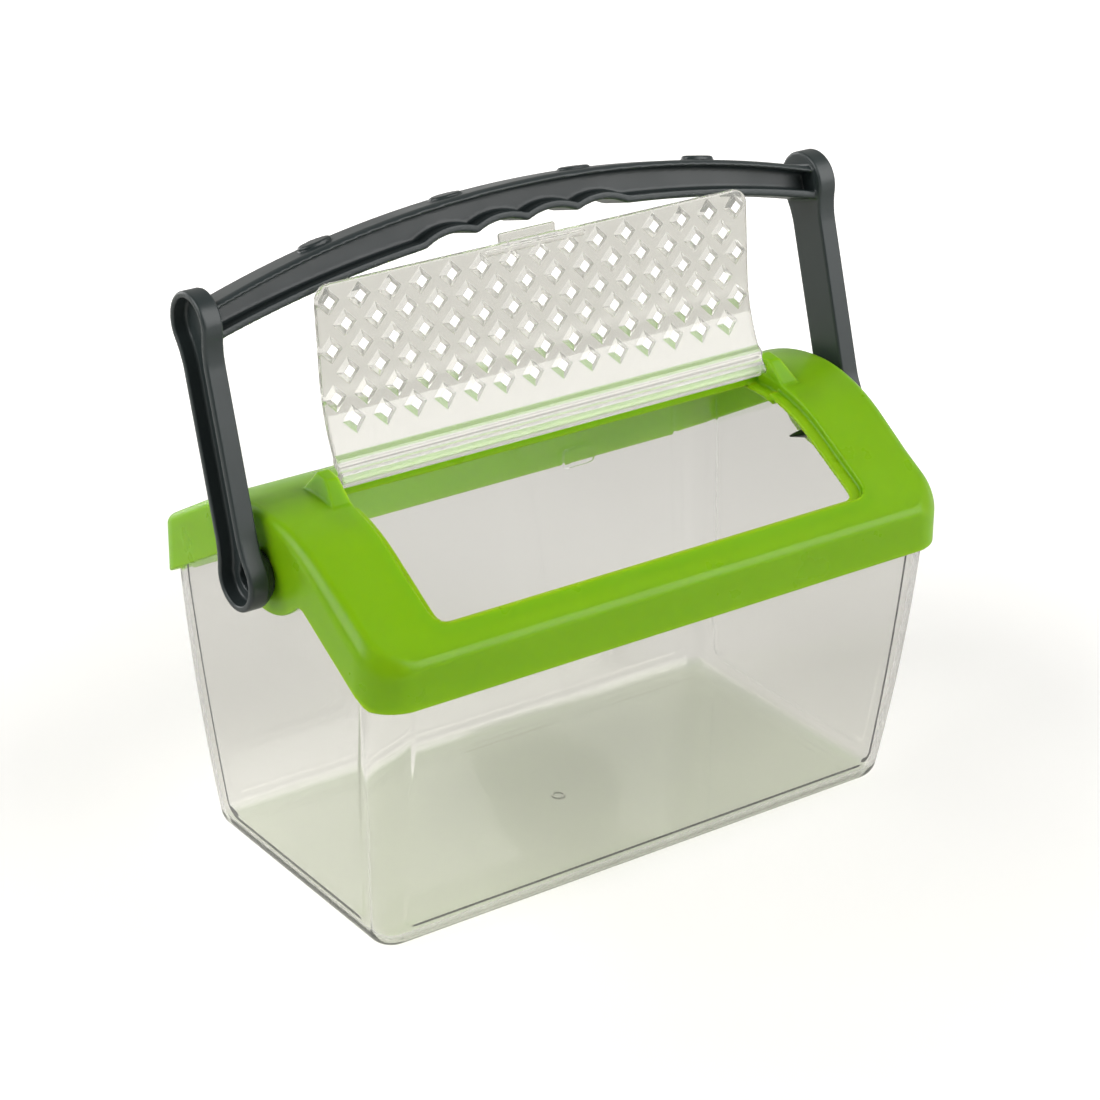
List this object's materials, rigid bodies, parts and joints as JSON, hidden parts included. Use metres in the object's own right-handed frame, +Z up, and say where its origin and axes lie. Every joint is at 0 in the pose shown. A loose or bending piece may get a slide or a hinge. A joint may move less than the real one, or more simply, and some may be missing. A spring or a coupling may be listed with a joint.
{
  "type": "plastic pet keeper",
  "caption": "Clear tapered keeping box with an arched snapping lid, a clear perforated flap hinged in the lid and a swing-over carry handle",
  "frame": {"origin": "centre of the tub's flat foot, on the surface it stands on", "axes": "+Z up, +X along the long side (right seen from the front), -Y the front, where the flap opens"},
  "size_m": [0.229, 0.126, 0.2013],
  "materials": {
    "clear_tub": "clear polystyrene, smooth and slightly grey-green in its thick edges",
    "green_lid": "lime green injection-moulded plastic, satin to glossy",
    "clear_flap": "clear polystyrene, smooth",
    "grey_handle": "dark grey moulded plastic with a soft sheen"
  },
  "bodies": {
    "tub": {"tub": "clear_tub"},
    "lid": {"lid_frame": "green_lid"},
    "flap": {"vent_flap": "clear_flap"},
    "handle": {"carry_handle": "grey_handle"}
  },
  "joints": [
    {"name": "lid_lift", "type": "slide", "parent": "tub", "child": "lid", "axis": [0, 0, 1], "range_m": [0, 0.06]},
    {"name": "flap_hinge", "type": "hinge", "parent": "lid", "child": "flap", "pos_m": [0, -0.0002, 0.1294], "axis": [1, 0, 0], "range_deg": [0, 125]},
    {"name": "handle_swing", "type": "hinge", "parent": "lid", "child": "handle", "pos_m": [0, -0.0022, 0.1089], "axis": [1, 0, 0], "range_deg": [-100, 0]}
  ]
}
